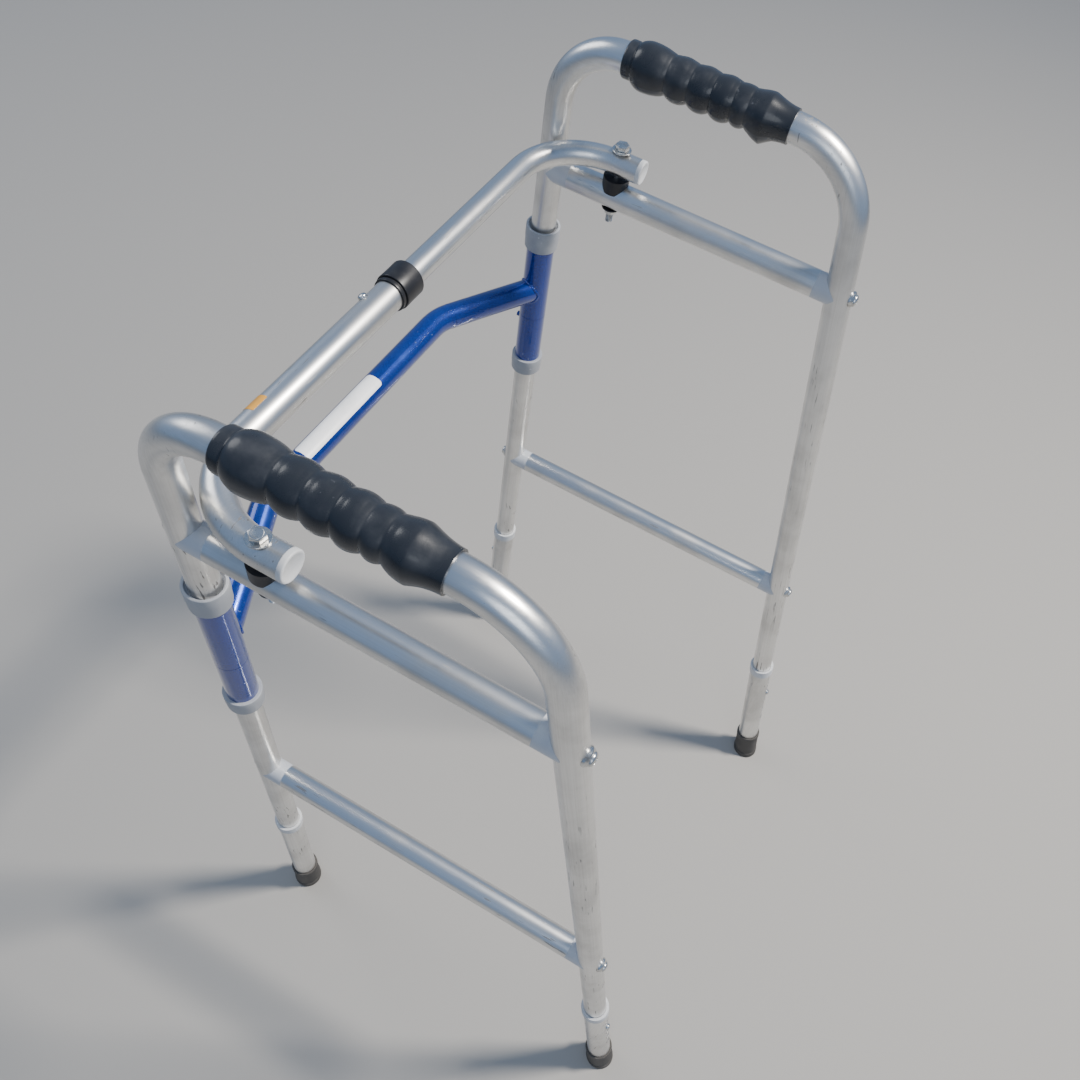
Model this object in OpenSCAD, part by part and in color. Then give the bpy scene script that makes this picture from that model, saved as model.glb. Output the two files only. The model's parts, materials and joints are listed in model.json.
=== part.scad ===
// Folding walking frame: two side frames hinged on a front brace, tied by a telescopic cross tube.
// Millimetres. +Z is up, -Y is the walking direction, +X is the user's left.

/* [Side frames] */
// Height of the handle tube's axis above the floor
handle_h = 840; // [780:1:920]
// Distance between the two handle axes
frame_spacing = 456; // [420:1:560]
// Front leg axis to the corner that the handle and rear leg axes would make
handle_depth = 242; // [220:1:300]
// Rake of the rear legs from the vertical, in degrees
rear_rake = 11.6; // [6:0.1:14]
// Outside diameter of the side frames, rails and brace
tube_d = 22.2; // [19:0.1:25.4]
// Wall of every aluminium tube
tube_wall = 1.2; // [1:0.1:1.6]
// Centre-line radius of the front handle bend
front_bend_r = 50; // [40:1:56]
// Centre-line radius of the rear handle bend
rear_bend_r = 68; // [50:1:80]

/* [Rails] */
// Drop from the handle's axis to the upper side rail's
rail_drop = 109; // [95:1:140]
// Height of the lower side rail's axis
lower_rail_z = 360; // [300:1:420]
// Exposed length of the saddle insert at each rail end
saddle_l = 9; // [6:0.5:14]
// Length of the plug that each saddle has inside its rail
plug_l = 16; // [10:1:25]
// Diameter of the rail screws
screw_d = 4.8; // [4:0.1:6]
// Diameter of the rail screw heads
screw_head_d = 9.5; // [8:0.5:11]
// Diameter of the shaped washers under the rail screw heads
screw_washer_d = 13; // [12:0.5:15]

/* [Front brace] */
// Height of the brace's axis above the sleeves' lower end, where it meets them
brace_up = 28; // [16:1:60]
// Rise of the brace's middle above its ends
brace_rise = 16; // [0:1:30]
// How far the brace's middle bows forward of the front legs
brace_bow = 42; // [25:1:60]
// Length of the brace's straight middle, corner to corner
brace_middle = 242; // [180:1:280]
// Centre-line radius of the brace's bends
brace_bend_r = 60; // [40:1:90]
// Wall of the plastic bushes inside the hinge sleeves
bush_wall = 0.3; // [0.2:0.05:1.5]
// Drop from the upper side rail's axis to the sleeves' lower end
sleeve_drop = 156; // [140:1:200]
// Length of the sleeves
sleeve_l = 77; // [70:1:90]
// Length of the locating ring below each sleeve
ring_l = 54; // [40:1:60]
// Wall of the plastic collars
collar_wall = 4.4; // [2.5:0.1:6]
// Height of the upper collars
upper_collar_h = 22; // [14:1:26]
// Height of the lower collars
lower_collar_h = 18; // [12:1:22]

/* [Cross tube] */
// Pivot bolt's distance behind the front leg's axis
pivot_back = 60; // [59:1:70]
// Centre-line radius of the cross tube's bends
arm_bend_r = 58; // [57:0.5:59]
// Length of the arms behind the pivot bolt, without the end cap
arm_tail = 18; // [14:1:24]
// Gap between the upper rail and the cross tube, filled by the pivot saddle
pivot_gap = 6; // [5:0.5:10]
// Pivot bolt diameter
bolt_d = 6; // [5:0.5:8]
// Sideways place of the outer half's open end, from the middle
outer_end_x = -8; // [-40:1:10]
// Length of the inner half inside the outer one
overlap_l = 74; // [60:1:100]
// Length of the collar on the outer half's open end
grip_collar_l = 24; // [18:1:30]
// Wall of that collar
grip_collar_wall = 2.4; // [1.5:0.1:4]
// Sideways place of the lock button
lock_x = 32; // [22:1:50]
// Thickness of the disc of each tube end cap
cap_t = 4; // [2:0.5:6]

/* [Leg extensions] */
// Height of the extensions' upper end
extension_top = 211; // [205:1:240]
// Height of the snap buttons above the floor, along the leg
button_z = 158; // [150:1:165]
// Pitch of the adjusting holes
hole_pitch = 20; // [16:1:22]
// Length of the leg below its snap button
leg_tail = 40; // [30:1:50]
// Wall of the ferrule at the extension's mouth
ferrule_wall = 1.3; // [0.8:0.1:3]
// Height of the ferrule
ferrule_h = 9; // [6:0.5:12]
// Diameter of the snap buttons
button_d = 6.6; // [5:0.1:8]
// How far a snap button stands out of the extension
button_out = 3; // [2:0.5:4]
// Width of the snap clip's strip
clip_w = 8; // [6:0.5:10]
// Length of the snap clip's arms
clip_l = 30; // [20:1:36]
// Thickness of the snap clip's strip
clip_t = 1; // [0.6:0.1:1.2]

/* [Rubber tips] */
// Wall of the rubber tips at their mouth
tip_wall = 1.8; // [1.2:0.1:5]
// How far the tips widen towards the floor, on each side
tip_flare = 1; // [0:0.1:6]
// Height of the rubber tips
tip_h = 48; // [35:1:60]
// Thickness of rubber under the extension
tip_floor = 12; // [8:1:16]

/* [Grips] */
// Length of the grips
grip_l = 134; // [110:1:136]
// Wall of the grips in their grooves
grip_wall = 2.4; // [1.6:0.1:4]
// Rise of the finger lobes above the grooves
lobe_rise = 2; // [1:0.1:3]
// Rise of the bulges at the grips' ends above the grooves
bulge_rise = 3.5; // [2:0.1:6]

/* [Fits] */
// Radial clearance of the hinge bushes on the legs
hinge_clear = 0.05; // [0.02:0.01:0.1]
// Radial clearance of sliding tubes
slide_clear = 0.4; // [0.3:0.05:0.8]
// Radial clearance of pieces fixed on each other
seat_clear = 0.05; // [0.02:0.01:0.1]
// Gap between parts that turn past each other
face_gap = 0.4; // [0.3:0.1:1]
// Radial clearance of a button in its hole
button_clear = 0.25; // [0.15:0.05:0.4]

/* [Hidden] */
$fn = 48;
half = frame_spacing / 2;
tube_r = tube_d / 2;
leg_bore_d = tube_d - 2 * tube_wall;
rear_foot_y = handle_depth + handle_h * tan(rear_rake);
leg_end = button_z - leg_tail;
upper_rail_z = handle_h - rail_drop;
cross_z = upper_rail_z + tube_d + pivot_gap;
inner_tube_d = leg_bore_d - 2 * slide_clear;
inner_bore_d = inner_tube_d - 2 * tube_wall;
extension_bore_d = tube_d + 2 * slide_clear;
extension_d = extension_bore_d + 2 * tube_wall;
bush_bore_d = tube_d + 2 * hinge_clear;
sleeve_bore_d = bush_bore_d + 2 * bush_wall + 2 * seat_clear;
sleeve_d = sleeve_bore_d + 2 * tube_wall;
sleeve_z = upper_rail_z - sleeve_drop;
brace_z = sleeve_z + brace_up;
collar_d = tube_d + 2 * collar_wall;
grip_collar_d = tube_d + 2 * grip_collar_wall;
ferrule_d = extension_d + 2 * ferrule_wall;
tip_mouth_d = extension_d + 2 * tip_wall;
tip_d = tip_mouth_d + 2 * tip_flare;
grip_groove_d = tube_d + 2 * grip_wall;
grip_lobe_d = grip_groove_d + 2 * lobe_rise;
grip_bulge_d = grip_groove_d + 2 * bulge_rise;
seat_d = tube_d + 2 * seat_clear;
pivot_hole_d = bolt_d + 2 * hinge_clear;
grip_y = front_bend_r + 1;
grip_lobes = 4;
hex_af = 10;
hex_h = 4;
washer_t = 1.2;
washer_d = 14;
nut_h = 5;
thread_out = 8;
screw_head_h = 2.6;
screw_washer_t = 2;
lock_lean = 40;
chamfer = 1.5;
bend_lap = 0.4;
bend_step = 0.1;
cap_plug_l = 12;
saddle_drop = 6;
saddle_d = 22;
front_y = -(brace_bow + tube_r);
rear_y = rear_foot_y + tip_d / 2 / cos(rear_rake);
centre_y = (front_y + rear_y) / 2;

sides = ["left", "right"];
ends = ["front", "rear"];

// Vectors and angles along a bent centre line
function heading(a, b) = (b - a) / norm(b - a);
function angle_of(v) = atan2(v.y, v.x);
function turn_at(p, i) =
    let (t = angle_of(heading(p[i], p[i + 1])) - angle_of(heading(p[i - 1], p[i])))
    t > 180 ? t - 360 : t < -180 ? t + 360 : t;
function setback(p, r, i) = i < 1 || i > len(p) - 2 ? 0 : r[i] * tan(abs(turn_at(p, i)) / 2);
function straight(p, r, i) = norm(p[i + 1] - p[i]) - setback(p, r, i) - setback(p, r, i + 1);

// A round bar in the XY plane along the points p, bent to radius r[i] at each inner point
module bent_bar(p, r, d) {
    translate([p[0].x, p[0].y, 0])
        rotate([0, 0, angle_of(heading(p[0], p[1]))])
            bar_onward(p, r, d, 0);
}

// The straight that starts at point i, then its bend and the rest, from the origin along +X.
// Each bend is a hair slimmer than its straights and ends inside them, so that they join cleanly.
module bar_onward(p, r, d, i) {
    rotate([0, 90, 0])
        cylinder(d = d, h = straight(p, r, i));
    if (i < len(p) - 2) {
        turn = turn_at(p, i + 1);
        bend = r[i + 1];
        lap = atan2(bend_lap, bend);
        flip = [0, turn < 0 ? 1 : 0, 0];
        translate([straight(p, r, i), 0, 0])
            mirror(flip)
                translate([0, bend, 0]) {
                    rotate([0, 0, -90 - lap])
                        rotate_extrude(angle = abs(turn) + 2 * lap)
                            translate([bend, 0])
                                circle(d = d - 2 * bend_step);
                    rotate([0, 0, abs(turn)])
                        translate([0, -bend, 0])
                            mirror(flip)
                                bar_onward(p, r, d, i + 1);
                }
    }
}

// The same bar as a tube with open ends
module bent_tube(p, r, d, wall) {
    last = len(p) - 1;
    ends_out = [for (i = [0 : last])
        i == 0 ? p[0] - heading(p[0], p[1])
        : i == last ? p[last] + heading(p[last - 1], p[last])
        : p[i]];
    difference() {
        bent_bar(p, r, d);
        bent_bar(ends_out, r, d - 2 * wall);
    }
}

module ring(outer, inner, h) {
    difference() {
        cylinder(d = outer, h = h);
        translate([0, 0, -1])
            cylinder(d = inner, h = h + 2);
    }
}

// A bar along +Y that starts at y
module bar_y(d, y, l) {
    translate([0, y, 0])
        rotate([-90, 0, 0])
            cylinder(d = d, h = l);
}

// Places a drawing of the left side on the named side, with the origin under the whole frame's middle
module on_side(side) {
    translate([0, -centre_y, 0])
        mirror([side == "left" ? 0 : 1, 0, 0])
            translate([half, 0, 0])
                children();
}

// Local Z runs up the leg from the floor
module on_leg(end) {
    if (end == "front")
        children();
    else
        translate([0, rear_foot_y, 0])
            rotate([rear_rake, 0, 0])
                children();
}

function outward(end) = end == "front" ? -1 : 1;
function rear_leg_y(z) = rear_foot_y - z * tan(rear_rake);
function leg_y(end, z) = end == "front" ? 0 : rear_leg_y(z);
function rail_start() = tube_r + saddle_l;
function rail_stop(z) = rear_leg_y(z) - tube_r / cos(rear_rake) - saddle_l;

// ---- Front brace and its hinge sleeves, the fixed body ----

module brace_tube() {
    reach = norm([brace_bow, brace_rise]);
    path = [[half, 0], [brace_middle / 2, reach], [-brace_middle / 2, reach], [-half, 0]];
    bends = [0, brace_bend_r, brace_bend_r, 0];
    color("royalblue")
    translate([0, -centre_y, 0])
    difference() {
        translate([0, 0, brace_z])
            rotate([90 + atan2(brace_bow, brace_rise), 0, 0])
                bent_tube(path, bends, tube_d, tube_wall);
        for (x = [-half, half])
            translate([x, 0, sleeve_z])
                cylinder(d = sleeve_d, h = sleeve_l);
    }
}

module sleeve(side) {
    color("mediumblue")
    on_side(side)
        translate([0, 0, sleeve_z])
            ring(sleeve_d, sleeve_bore_d, sleeve_l);
}

module sleeve_bush(side) {
    color("gainsboro")
    on_side(side)
        translate([0, 0, sleeve_z])
            ring(sleeve_bore_d - 2 * seat_clear, bush_bore_d, sleeve_l);
}

// ---- Side frames ----

module side_tube(side) {
    front_low = [0, leg_end];
    rear_low = [rear_foot_y - leg_end * sin(rear_rake), leg_end * cos(rear_rake)];
    path = [front_low, [0, handle_h], [handle_depth, handle_h], rear_low];
    bends = [0, front_bend_r, rear_bend_r, 0];
    color("silver")
    on_side(side)
    difference() {
        rotate([90, 0, 90])
            bent_tube(path, bends, tube_d, tube_wall);
        for (end = ends, z = [lower_rail_z, upper_rail_z])
            translate([0, leg_y(end, z), z])
                bar_y(screw_d, -tube_d, 2 * tube_d);
        for (end = ends)
            on_leg(end)
                translate([0, 0, button_z])
                    rotate([-90 * outward(end), 0, 0])
                        cylinder(d = button_d + 2 * button_clear, h = tube_d);
    }
}

module rail(side, z) {
    color("silver")
    on_side(side)
        translate([0, rail_start(), z])
            rotate([-90, 0, 0])
                ring(tube_d, leg_bore_d, rail_stop(z) - rail_start());
}

// A rail's end insert: a plug in the rail and a mouth that fits the leg
module saddle_insert(end, z) {
    plug_d = leg_bore_d - 2 * seat_clear;
    difference() {
        if (end == "front")
            union() {
                bar_y(tube_d, 0, rail_start());
                bar_y(plug_d, rail_start(), plug_l);
            }
        else
            union() {
                bar_y(tube_d, rail_stop(z), rear_leg_y(z) - rail_stop(z));
                bar_y(plug_d, rail_stop(z) - plug_l, plug_l);
            }
        translate([0, leg_y(end, z), 0])
            rotate([end == "front" ? 0 : rear_rake, 0, 0])
                translate([0, 0, -2 * tube_d])
                    cylinder(d = seat_d, h = 4 * tube_d);
        translate([0, leg_y(end, z), 0])
            bar_y(screw_d, -3 * tube_d, 6 * tube_d);
    }
}

module rail_saddles(side) {
    color("lightgray")
    on_side(side)
        for (end = ends, z = [lower_rail_z, upper_rail_z])
            translate([0, 0, z])
                saddle_insert(end, z);
}

// A domed screw from the leg's outer face into the rail's end insert
module rail_screw(end, z) {
    lean = end == "front" ? 0 : rear_rake;
    face = tube_r / cos(lean);
    shank = face + tube_r + saddle_l + plug_l * 0.7;
    translate([0, leg_y(end, z), z])
        rotate([90 * outward(end), 0, 0]) {
            difference() {
                translate([0, 0, -face - screw_washer_t])
                    cylinder(d = screw_washer_d, h = screw_washer_t + 2);
                rotate([-90 * outward(end) + lean, 0, 0])
                    translate([0, 0, -tube_d])
                        cylinder(d = seat_d, h = 2 * tube_d);
            }
            translate([0, 0, -face - screw_washer_t])
                cylinder(d = screw_d - 2 * seat_clear, h = shank);
            translate([0, 0, -face - screw_washer_t - screw_head_h])
                cylinder(d1 = screw_head_d * 0.7, d2 = screw_head_d, h = screw_head_h);
        }
}

module rail_screws(side) {
    color("gray")
    on_side(side)
        for (end = ends, z = [lower_rail_z, upper_rail_z])
            rail_screw(end, z);
}

// Grip outline: a cuff, a front bulge, the finger lobes and a rear bulge
module grip(side) {
    cuff_l = grip_l * 0.08;
    bulge_l = grip_l * 0.19;
    lobe_l = (grip_l - 2 * cuff_l - 2 * bulge_l) / grip_lobes;
    first_lobe = cuff_l + bulge_l;
    rear_bulge = grip_l - cuff_l - bulge_l;
    color([0.18, 0.18, 0.2])
    on_side(side)
        translate([0, grip_y, handle_h])
            rotate([-90, 0, 0])
                difference() {
                    union() {
                        cylinder(d = grip_groove_d, h = grip_l);
                        for (z = [cuff_l, rear_bulge])
                            translate([0, 0, z])
                                barrel(grip_groove_d, grip_bulge_d, bulge_l);
                        for (i = [0 : grip_lobes - 1])
                            translate([0, 0, first_lobe + i * lobe_l])
                                barrel(grip_groove_d, grip_lobe_d, lobe_l);
                    }
                    translate([0, 0, -1])
                        cylinder(d = seat_d, h = grip_l + 2);
                }
}

// A turned bead that swells from one diameter to another and back
module barrel(low_d, high_d, l) {
    steps = 6;
    swell = [for (i = [0 : steps])
        [(low_d + (high_d - low_d) * sin(180 * i / steps)) / 2, l * i / steps]];
    rotate_extrude()
        polygon(concat([[0, 0]], swell, [[0, l]]));
}

module collar(h, bore) {
    rotate_extrude()
        polygon([
            [bore / 2, 0], [collar_d / 2 - chamfer, 0], [collar_d / 2, chamfer],
            [collar_d / 2, h - chamfer], [collar_d / 2 - chamfer, h], [bore / 2, h]
        ]);
}

module upper_collar(side) {
    color("lightgray")
    on_side(side)
        translate([0, 0, sleeve_z + sleeve_l + face_gap])
            collar(upper_collar_h, seat_d);
}

module lower_collar(side) {
    color("lightgray")
    on_side(side)
        translate([0, 0, sleeve_z - face_gap - ring_l - lower_collar_h])
            collar(lower_collar_h, seat_d);
}

module sleeve_ring(side) {
    pin_d = 5;
    pin_out = 3;
    color("mediumblue")
    on_side(side)
        translate([0, 0, sleeve_z - face_gap - ring_l])
            union() {
                ring(sleeve_d, seat_d, ring_l);
                translate([0, 0, ring_l - 2 * pin_d])
                    rotate([90, 0, 0])
                        translate([0, 0, sleeve_d / 2 - tube_wall])
                            cylinder(d = pin_d, h = tube_wall + pin_out);
            }
}

// ---- Pivots between the upper rails and the cross tube ----

module pivot_saddle(side) {
    color([0.1, 0.1, 0.1])
    on_side(side)
        difference() {
            translate([0, pivot_back, upper_rail_z + tube_r - saddle_drop])
                cylinder(d = saddle_d, h = saddle_drop + pivot_gap - face_gap);
            translate([0, 0, upper_rail_z])
                bar_y(seat_d, 0, 2 * pivot_back);
            translate([0, pivot_back, upper_rail_z])
                cylinder(d = bolt_d + 2 * seat_clear, h = tube_d + pivot_gap);
        }
}

module pivot_bolt(side) {
    head_z = cross_z + tube_r + washer_t;
    foot_z = upper_rail_z - tube_r - washer_t - nut_h - thread_out;
    color("lightsteelblue")
    on_side(side)
        translate([0, pivot_back, 0])
            union() {
                translate([0, 0, foot_z])
                    cylinder(d = bolt_d, h = head_z - foot_z);
                translate([0, 0, head_z])
                    cylinder(d = hex_af / cos(30), h = hex_h, $fn = 6);
            }
}

module pivot_washers(side) {
    color("dimgray")
    on_side(side)
        for (z = [cross_z + tube_r, upper_rail_z - tube_r - washer_t])
            translate([0, pivot_back, z])
                ring(washer_d, bolt_d + 2 * seat_clear, washer_t);
}

module pivot_nut(side) {
    color("lightsteelblue")
    on_side(side)
        translate([0, pivot_back, upper_rail_z - tube_r - washer_t - nut_h])
            difference() {
                cylinder(d = hex_af / cos(30), h = nut_h, $fn = 6);
                translate([0, 0, -1])
                    cylinder(d = bolt_d + 2 * seat_clear, h = nut_h + 2);
            }
}

module upper_rail(side) {
    color("silver")
    difference() {
        rail(side, upper_rail_z);
        on_side(side)
            translate([0, pivot_back, upper_rail_z - tube_d])
                cylinder(d = bolt_d + 2 * seat_clear, h = 2 * tube_d);
    }
}

module lower_rail(side) {
    rail(side, lower_rail_z);
}

// ---- Telescopic cross tube ----

// One half, drawn for the left side with its straight part running to open_x
module cross_half(d, open_x) {
    path = [[half, pivot_back + arm_tail], [half, 0], [open_x, 0]];
    translate([0, -centre_y, 0])
        difference() {
            translate([0, 0, cross_z])
                bent_tube(path, [0, arm_bend_r, 0], d, tube_wall);
            translate([half, pivot_back, cross_z - tube_d])
                cylinder(d = pivot_hole_d, h = 2 * tube_d);
        }
}

module at_lock() {
    translate([lock_x, -centre_y, cross_z])
        rotate([lock_lean, 0, 0])
            children();
}

module cross_tube_outer() {
    color("silver")
    difference() {
        cross_half(tube_d, outer_end_x);
        at_lock()
            cylinder(d = button_d + 2 * button_clear, h = tube_d);
    }
}

module cross_tube_inner() {
    color("gainsboro")
    difference() {
        mirror([1, 0, 0])
            cross_half(inner_tube_d, -outer_end_x - overlap_l);
        at_lock()
            cylinder(d = button_d + 2 * button_clear, h = tube_d);
    }
}

// A plug with a disc that closes an arm's rear end
module end_cap(side, d) {
    color("lightgray")
    on_side(side)
        translate([0, pivot_back + arm_tail, cross_z])
            union() {
                bar_y(d - 2 * tube_wall - 2 * seat_clear, -cap_plug_l, cap_plug_l);
                bar_y(d, 0, cap_t);
            }
}

// Collar on the outer half's open end, with a lip that closes the gap to the inner half
module telescope_collar() {
    lip = 4;
    step_l = 4;
    step = 0.8;
    color([0.12, 0.12, 0.13])
    translate([outer_end_x - lip, -centre_y, cross_z])
        rotate([0, 90, 0])
            difference() {
                union() {
                    cylinder(d = grip_collar_d, h = grip_collar_l - step_l);
                    cylinder(d = grip_collar_d - 2 * step, h = grip_collar_l);
                }
                translate([0, 0, lip])
                    cylinder(d = seat_d, h = grip_collar_l);
                translate([0, 0, -1])
                    cylinder(d = inner_tube_d + 2 * slide_clear, h = lip + 2);
            }
}

// ---- Snap clips and buttons ----

// How far a clip's arm stands from the tube's middle, its corners just clear of the round bore
function arm_reach(bore) = sqrt(pow(bore / 2, 2) - pow(clip_w / 2, 2)) - slide_clear;

// A hairpin strip inside a tube: local Z is the button's direction, local X the tube's
module hairpin(bore) {
    reach = arm_reach(bore);
    arm_r = reach - clip_t / 2;
    rotate([90, 0, 0])
        translate([0, 0, -clip_w / 2])
            linear_extrude(clip_w)
                union() {
                    for (y = [-reach, reach - clip_t])
                        translate([0, y])
                            square([clip_l, clip_t]);
                    difference() {
                        circle(r = arm_r + clip_t / 2);
                        circle(r = arm_r - clip_t / 2);
                        translate([0, -bore])
                            square([bore, 2 * bore]);
                    }
                }
}

// A round stud with a domed end, from the clip's arm out past the outer tube
module stud(bore, outer_d) {
    root_z = arm_reach(bore);
    dome_h = button_out * 0.6;
    straight = outer_d / 2 + button_out - dome_h - root_z;
    translate([0, 0, root_z])
        union() {
            cylinder(d = button_d, h = straight);
            translate([0, 0, straight])
                rotate_extrude()
                    polygon(concat([[0, 0]], [for (a = [0 : 15 : 90])
                        [button_d / 2 * cos(a), dome_h * sin(a)]]));
        }
}

// Local Z points out through the button hole, local X runs down the leg
module at_button(side, end) {
    on_side(side)
        on_leg(end)
            translate([0, 0, button_z])
                rotate([0, 0, 90 * outward(end)])
                    rotate([0, 90, 0])
                        children();
}

module clip(side, end) {
    color("darkgray")
    at_button(side, end)
        translate([-clip_l + button_d, 0, 0])
            hairpin(leg_bore_d);
}

module button(side, end) {
    color("whitesmoke")
    at_button(side, end)
        stud(leg_bore_d, extension_d);
}

module lock_clip() {
    color("darkgray")
    at_lock()
        translate([-clip_l + button_d, 0, 0])
            hairpin(inner_bore_d);
}

module lock_button() {
    color("whitesmoke")
    at_lock()
        stud(inner_bore_d, tube_d);
}

// ---- Leg extensions and rubber tips ----

module extension(side, end) {
    holes = floor((extension_top - ferrule_h - button_d - button_z) / hole_pitch);
    color("silver")
    on_side(side)
        on_leg(end)
            difference() {
                translate([0, 0, tip_floor])
                    ring(extension_d, extension_bore_d, extension_top - tip_floor);
                for (i = [-3 : holes])
                    translate([0, 0, button_z + i * hole_pitch])
                        rotate([-90 * outward(end), 0, 0])
                            cylinder(d = button_d + 2 * button_clear, h = extension_d);
            }
}

module ferrule(side, end) {
    lip = 2;
    color("lightgray")
    on_side(side)
        on_leg(end)
            translate([0, 0, extension_top - ferrule_h])
                difference() {
                    cylinder(d = ferrule_d, h = ferrule_h + lip);
                    translate([0, 0, -1])
                        cylinder(d = extension_d + 2 * seat_clear, h = ferrule_h + 1);
                    cylinder(d = tube_d + slide_clear, h = ferrule_h + 2 * lip);
                }
}

module tip(side, end) {
    shoulder = tip_h * 0.4;
    color([0.25, 0.24, 0.22])
    on_side(side)
        difference() {
            on_leg(end)
                difference() {
                    union() {
                        translate([0, 0, -tip_floor])
                            cylinder(d = tip_d, h = tip_floor + shoulder);
                        translate([0, 0, shoulder])
                            cylinder(d1 = tip_d, d2 = tip_mouth_d, h = tip_h - shoulder);
                    }
                    translate([0, 0, tip_floor])
                        cylinder(d = extension_d + 2 * seat_clear, h = tip_h);
                }
            translate([-tip_d, -tip_d, -2 * tip_d])
                cube([2 * tip_d, rear_foot_y + 3 * tip_d, 2 * tip_d]);
        }
}

for (side = sides) {
    sleeve(side);
    sleeve_bush(side);
    side_tube(side);
    grip(side);
    upper_rail(side);
    lower_rail(side);
    rail_saddles(side);
    rail_screws(side);
    sleeve_ring(side);
    upper_collar(side);
    lower_collar(side);
    pivot_saddle(side);
    pivot_bolt(side);
    pivot_washers(side);
    pivot_nut(side);
    for (end = ends) {
        extension(side, end);
        ferrule(side, end);
        tip(side, end);
        clip(side, end);
        button(side, end);
    }
}
brace_tube();
cross_tube_outer();
cross_tube_inner();
end_cap("left", tube_d);  // outer_end_cap
end_cap("right", inner_tube_d);  // inner_end_cap
telescope_collar();
lock_clip();
lock_button();
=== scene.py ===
import json
import math

import bmesh
import bpy
from mathutils import Matrix, Vector


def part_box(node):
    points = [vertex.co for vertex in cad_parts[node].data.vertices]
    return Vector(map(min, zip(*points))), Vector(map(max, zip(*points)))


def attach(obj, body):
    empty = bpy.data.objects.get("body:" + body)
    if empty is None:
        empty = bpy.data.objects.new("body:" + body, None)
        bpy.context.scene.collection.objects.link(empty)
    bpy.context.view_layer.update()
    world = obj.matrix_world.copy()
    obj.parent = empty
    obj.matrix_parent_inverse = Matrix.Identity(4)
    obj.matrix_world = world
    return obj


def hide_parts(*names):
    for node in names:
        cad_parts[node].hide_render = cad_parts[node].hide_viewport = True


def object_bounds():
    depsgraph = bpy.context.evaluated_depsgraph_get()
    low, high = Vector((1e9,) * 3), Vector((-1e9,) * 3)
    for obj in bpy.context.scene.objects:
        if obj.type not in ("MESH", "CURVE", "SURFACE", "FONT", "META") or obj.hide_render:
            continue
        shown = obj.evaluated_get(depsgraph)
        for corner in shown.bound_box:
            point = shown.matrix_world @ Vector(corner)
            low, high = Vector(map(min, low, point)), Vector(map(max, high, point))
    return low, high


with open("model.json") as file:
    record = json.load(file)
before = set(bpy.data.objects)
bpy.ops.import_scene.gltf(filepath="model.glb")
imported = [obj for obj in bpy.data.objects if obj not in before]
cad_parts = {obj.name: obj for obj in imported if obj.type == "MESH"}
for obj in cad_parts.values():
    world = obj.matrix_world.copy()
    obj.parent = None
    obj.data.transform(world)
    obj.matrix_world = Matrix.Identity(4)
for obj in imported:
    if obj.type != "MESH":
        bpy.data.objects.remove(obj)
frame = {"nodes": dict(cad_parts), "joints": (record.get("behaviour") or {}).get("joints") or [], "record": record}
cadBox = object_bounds()
nodes = frame["nodes"]
joints = {joint["name"]: joint for joint in frame["joints"]}
mounts = {mount["name"]: mount for mount in frame["record"]["mounts"]}
sides = {"left": 1, "right": -1}
ends = {"front": -1, "rear": 1}
mm = 0.001
print("frame loaded:", len(nodes), "CAD nodes")


# ---------- places, read from the frame ----------

def middle(node):
    low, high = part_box(node)
    return (low + high) / 2


def legMatrix(side, end):  # local Z runs up the leg from the floor
    foot = Vector(mounts[f"{side}_{end}_foot"]["pos_m"])
    up = -Vector(joints[f"{side}_{end}_leg_height"]["axis"])
    lean = math.atan2(-up.y, up.z)
    return Matrix.Translation(foot) @ Matrix.Rotation(lean, 4, "X")


def legAxisY(side, end, height):
    foot = Vector(mounts[f"{side}_{end}_foot"]["pos_m"])
    up = -Vector(joints[f"{side}_{end}_leg_height"]["axis"])
    return foot.y + height * up.y / up.z


railLow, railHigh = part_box("left_upper_rail")  # straight, of the same tube as the side frames
tubeRadius = (railHigh.x - railLow.x) / 2
rearLean = math.atan2(joints["left_rear_leg_height"]["axis"][1], -joints["left_rear_leg_height"]["axis"][2])


# ---------- material helpers ----------

def addNode(tree, kind, **settings):
    node = tree.nodes.new(kind)
    for key, value in settings.items():
        if key.startswith("in_"):
            node.inputs[key[3:].replace("_", " ")].default_value = value
        else:
            setattr(node, key, value)
    return node


def newGroup(name, inputs, outputs):
    group = bpy.data.node_groups.new(name, "ShaderNodeTree")
    for socketName, socketType, default in inputs:
        socket = group.interface.new_socket(socketName, in_out="INPUT", socket_type=socketType)
        if default is not None:
            socket.default_value = default
    for socketName, socketType in outputs:
        group.interface.new_socket(socketName, in_out="OUTPUT", socket_type=socketType)
    return group, group.nodes.new("NodeGroupInput"), group.nodes.new("NodeGroupOutput")


def streakGroup():  # fine drawing lines left along a tube
    group, entry, leave = newGroup(
        "drawnStreaks",
        [("Coords", "NodeSocketVector", None), ("Stretch", "NodeSocketVector", (800, 800, 10))],
        [("Lines", "NodeSocketFloat")])
    link = group.links.new
    scaled = addNode(group, "ShaderNodeVectorMath", operation="MULTIPLY")
    noise = addNode(group, "ShaderNodeTexNoise", in_Scale=1.0, in_Detail=4.0, in_Roughness=0.65)
    link(entry.outputs["Coords"], scaled.inputs[0])
    link(entry.outputs["Stretch"], scaled.inputs[1])
    link(scaled.outputs["Vector"], noise.inputs["Vector"])
    link(noise.outputs["Fac"], leave.inputs["Lines"])
    return group


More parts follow.
